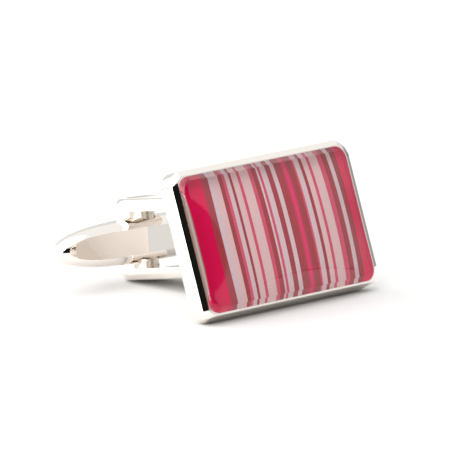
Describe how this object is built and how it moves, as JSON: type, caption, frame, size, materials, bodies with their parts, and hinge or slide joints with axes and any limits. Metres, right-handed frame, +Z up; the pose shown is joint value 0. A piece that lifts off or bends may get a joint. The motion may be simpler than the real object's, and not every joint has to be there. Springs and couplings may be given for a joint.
{
  "type": "cufflink",
  "caption": "Polished cufflink with a rectangular head that carries a striped plate under clear resin, a two-armed fork and a swivelling rounded bar.",
  "frame": {"origin": "centre of the box round the cufflink as it lies, on the surface that it lies on", "axes": "+X along the head's long side and the bar, -Y the way the head faces, +Z up"},
  "size_m": [0.02, 0.019, 0.0117],
  "materials": {
    "polished_metal": "mirror-polished rhodium plate over brass",
    "pin_metal": "polished steel pin with flush riveted ends",
    "stripes": "glossy plate with crimson, maroon, pink, beige and silver stripes",
    "clear_resin": "clear domed resin"
  },
  "bodies": {
    "head": {"tray_and_fork": "polished_metal", "striped_plate": "stripes", "resin_dome": "clear_resin", "pivot_pin": "pin_metal"},
    "bar": {"toggle": "polished_metal"}
  },
  "joints": [
    {"name": "toggle_swivel", "type": "hinge", "parent": "head", "child": "bar", "pos_m": [0, 0.00711, 0.00345], "axis": [0.0279, 0.1599, 0.9867], "range_deg": [-90, 90]}
  ]
}
